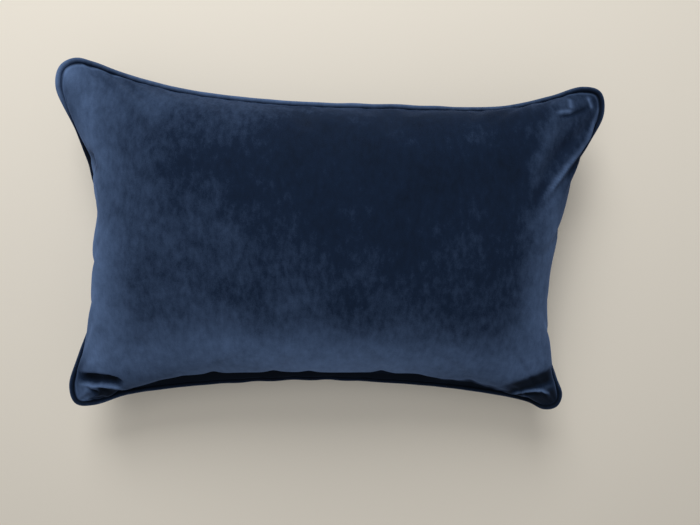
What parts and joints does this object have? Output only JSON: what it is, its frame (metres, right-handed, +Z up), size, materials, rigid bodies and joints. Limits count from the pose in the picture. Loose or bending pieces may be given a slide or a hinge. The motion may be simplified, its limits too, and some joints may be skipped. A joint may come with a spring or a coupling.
{
  "type": "lumbar cushion",
  "caption": "Oblong velvet cushion with a high crown, drawn-in sides and self-covered piping round its seam, lying on its back.",
  "frame": {"origin": "centre of the bounding box's bottom, on the surface that the cushion lies on", "axes": "+X along the cushion's long side, +Y to the top edge of its face, +Z up out of the face"},
  "size_m": [0.6022, 0.391, 0.1587],
  "materials": {
    "velvet": "short-pile velvet, deep blue, darker in the middle of the face and lighter where the pile turns to the light",
    "piping_velvet": "the same velvet, cut on the bias and sewn round a cord"
  },
  "bodies": {
    "root": {"filled_cover": "velvet", "piping": "piping_velvet"}
  },
  "joints": []
}
